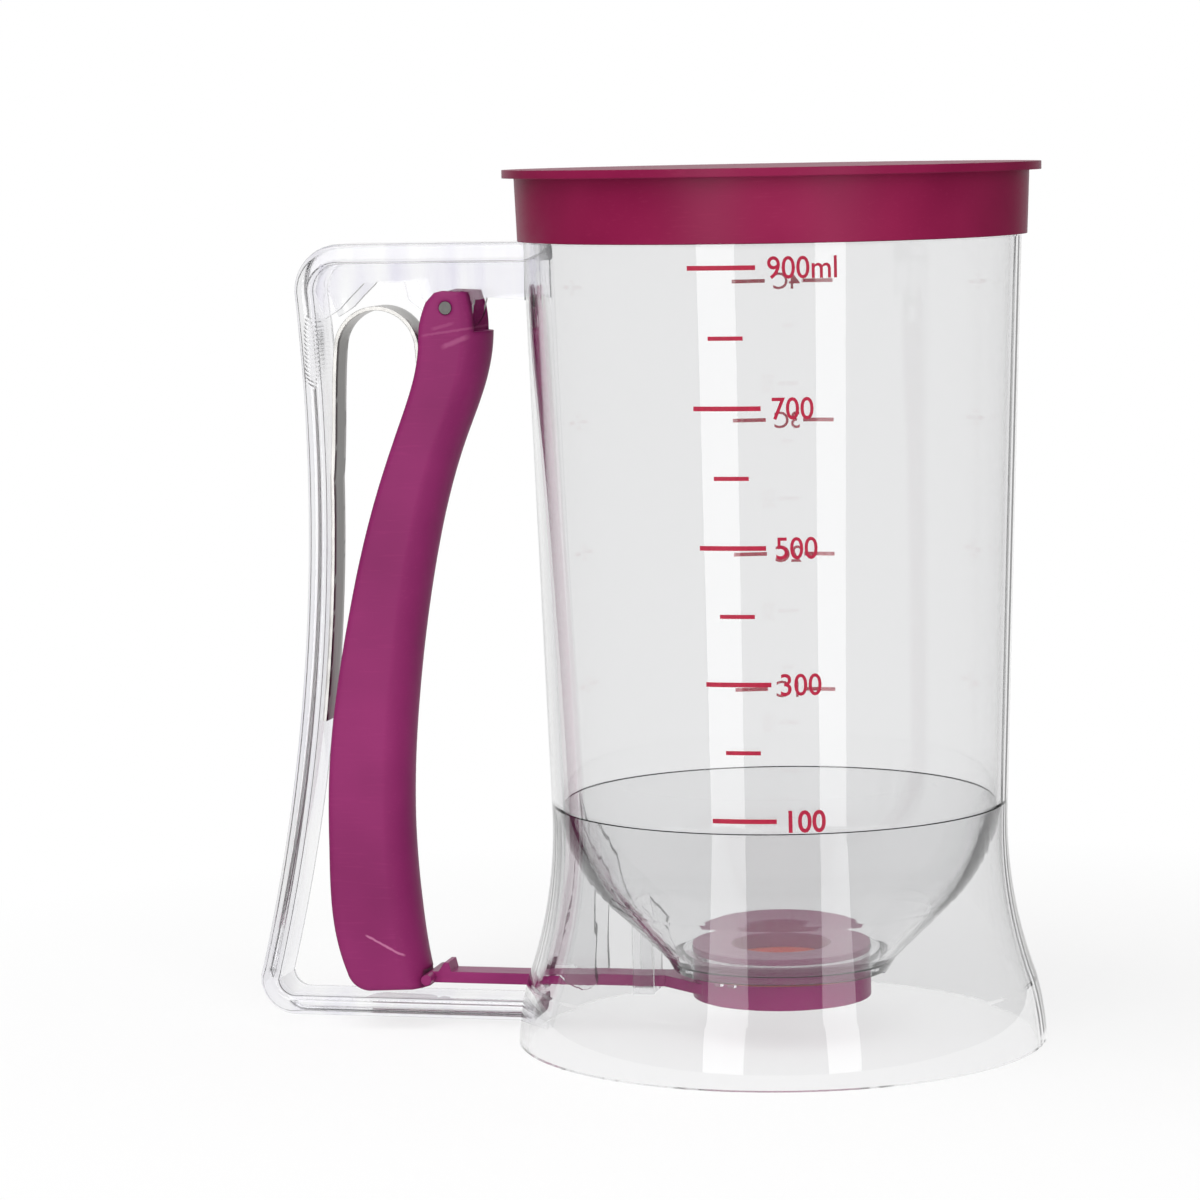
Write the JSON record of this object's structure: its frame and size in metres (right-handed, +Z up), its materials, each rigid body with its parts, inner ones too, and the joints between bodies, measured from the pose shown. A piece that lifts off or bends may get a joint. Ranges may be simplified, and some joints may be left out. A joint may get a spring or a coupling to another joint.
{
  "type": "batter dispenser",
  "caption": "Clear tapered jug with a push-on lid, funnel outlet and a spring-loaded trigger that slides a valve paddle under the outlet.",
  "frame": {"origin": "on the jug's axis at the plane the base stands on", "axes": "+Z up along the jug's axis, the handle and trigger towards -X, +Y across the handle"},
  "size_m": [0.1708, 0.1128, 0.185],
  "materials": {
    "clear_plastic": "clear, glossy, moulded",
    "lid_plastic": "satin crimson",
    "trigger_plastic": "satin purple-magenta",
    "seal_silicone": "soft red silicone",
    "spring_steel": "sheared strip and drawn pin"
  },
  "bodies": {
    "root": {"jug_wall": "clear_plastic", "funnel_bowl": "clear_plastic", "base_skirt": "clear_plastic", "outlet_collar": "clear_plastic", "outlet_ring": "trigger_plastic", "outlet_seal": "seal_silicone", "rod_guide_near": "clear_plastic", "rod_guide_far": "clear_plastic", "rod_clip": "clear_plastic", "handle_top_arm": "clear_plastic", "handle_back": "clear_plastic", "handle_bottom_arm": "clear_plastic", "handle_web_near": "clear_plastic", "handle_web_far": "clear_plastic", "trigger_pin": "spring_steel", "return_spring": "spring_steel"},
    "lid": {"lid_cap": "lid_plastic", "lid_plug": "lid_plastic"},
    "trigger": {"trigger_lever": "trigger_plastic"},
    "valve": {"valve_rod": "trigger_plastic", "valve_paddle": "trigger_plastic"}
  },
  "joints": [
    {"name": "lid_lift", "type": "slide", "parent": "root", "child": "lid", "axis": [0, 0, 1], "range_m": [0, 0.05]},
    {"name": "trigger_pivot", "type": "hinge", "parent": "root", "child": "trigger", "pos_m": [-0.069, 0, 0.1561], "axis": [0, -1, 0], "range_deg": [0, 5], "stiffness_Nm_per_rad": 0.8, "springref_deg": 8.02},
    {"name": "valve_slide", "type": "slide", "parent": "root", "child": "valve", "axis": [1, 0, 0], "range_m": [0, 0.0127]}
  ],
  "couplings": [
    {"joint": "valve_slide", "follows": "trigger_pivot", "m_per_rad": 0.145}
  ]
}
